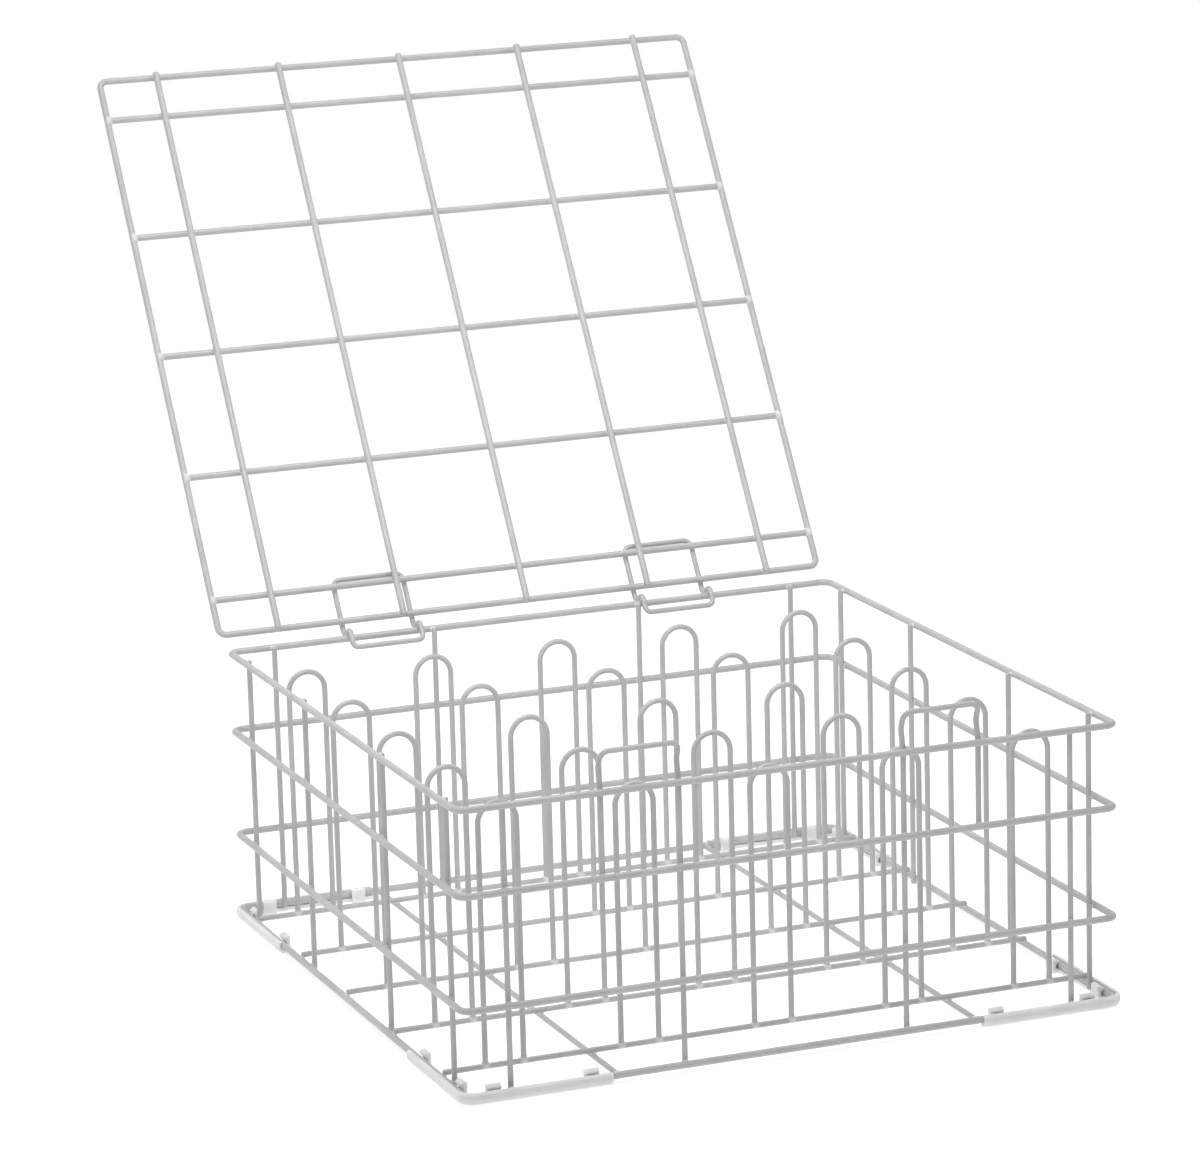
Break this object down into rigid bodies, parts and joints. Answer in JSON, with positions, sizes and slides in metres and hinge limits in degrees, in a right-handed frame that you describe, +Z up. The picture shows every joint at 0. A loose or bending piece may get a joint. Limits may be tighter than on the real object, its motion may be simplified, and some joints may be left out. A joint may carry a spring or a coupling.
{
  "type": "wire washer basket with lid",
  "caption": "Square coated-wire laboratory basket with hinged wire lid, upright hoops that keep glassware apart, front lid catches and plastic corner skids.",
  "frame": {"origin": "centre of the basket's square footprint, on the surface it stands on", "axes": "+Z up, +Y to the rear where the lid hinges, +X to the right seen from the front"},
  "size_m": [0.5005, 0.762, 0.6091],
  "materials": {
    "coated_frame_wire": "satin light grey polyamide coating on 5 mm wire",
    "coated_thin_wire": "satin light grey polyamide coating on 4 mm wire",
    "skid_plastic": "milky white moulded plastic, slightly translucent"
  },
  "bodies": {
    "basket": {"base_frame": "coated_frame_wire", "lower_rim": "coated_frame_wire", "middle_rim": "coated_frame_wire", "top_rim": "coated_frame_wire", "cross_wire_1": "coated_thin_wire", "cross_wire_2": "coated_thin_wire", "cross_wire_3": "coated_thin_wire", "cross_wire_4": "coated_thin_wire", "cross_wire_5": "coated_thin_wire", "long_wire_left": "coated_thin_wire", "long_wire_right": "coated_thin_wire", "uprights_left": "coated_thin_wire", "uprights_right": "coated_thin_wire", "uprights_rear": "coated_thin_wire", "uprights_front": "coated_thin_wire", "hoop_1_1": "coated_thin_wire", "hoop_1_2": "coated_thin_wire", "hoop_1_3": "coated_thin_wire", "hoop_1_4": "coated_thin_wire", "hoop_1_5": "coated_thin_wire", "hoop_2_1": "coated_thin_wire", "hoop_2_2": "coated_thin_wire", "hoop_2_3": "coated_thin_wire", "hoop_2_4": "coated_thin_wire", "hoop_2_5": "coated_thin_wire", "hoop_3_1": "coated_thin_wire", "hoop_3_2": "coated_thin_wire", "hoop_3_3": "coated_thin_wire", "hoop_3_4": "coated_thin_wire", "hoop_3_5": "coated_thin_wire", "hoop_4_1": "coated_thin_wire", "hoop_4_2": "coated_thin_wire", "hoop_4_3": "coated_thin_wire", "hoop_4_4": "coated_thin_wire", "hoop_4_5": "coated_thin_wire", "hoop_5_1": "coated_thin_wire", "hoop_5_2": "coated_thin_wire", "hoop_5_3": "coated_thin_wire", "hoop_5_4": "coated_thin_wire", "hoop_5_5": "coated_thin_wire", "catch_left": "coated_thin_wire", "catch_right": "coated_thin_wire", "skid_front_left": "skid_plastic", "skid_front_right": "skid_plastic", "skid_rear_left": "skid_plastic", "skid_rear_right": "skid_plastic"},
    "lid": {"lid_frame": "coated_frame_wire", "lid_cross_wire_1": "coated_frame_wire", "lid_cross_wire_2": "coated_frame_wire", "lid_cross_wire_3": "coated_frame_wire", "lid_cross_wire_4": "coated_frame_wire", "lid_cross_wire_5": "coated_frame_wire", "lid_long_wire_1": "coated_frame_wire", "lid_long_wire_2": "coated_frame_wire", "lid_long_wire_3": "coated_frame_wire", "lid_long_wire_4": "coated_frame_wire", "lid_long_wire_5": "coated_frame_wire", "hinge_clip_left": "coated_thin_wire", "hinge_clip_right": "coated_thin_wire"}
  },
  "joints": [
    {"name": "lid_hinge", "type": "hinge", "parent": "basket", "child": "lid", "pos_m": [0, 0.245, 0.2055], "axis": [1, 0, 0], "range_deg": [0, 123]}
  ]
}
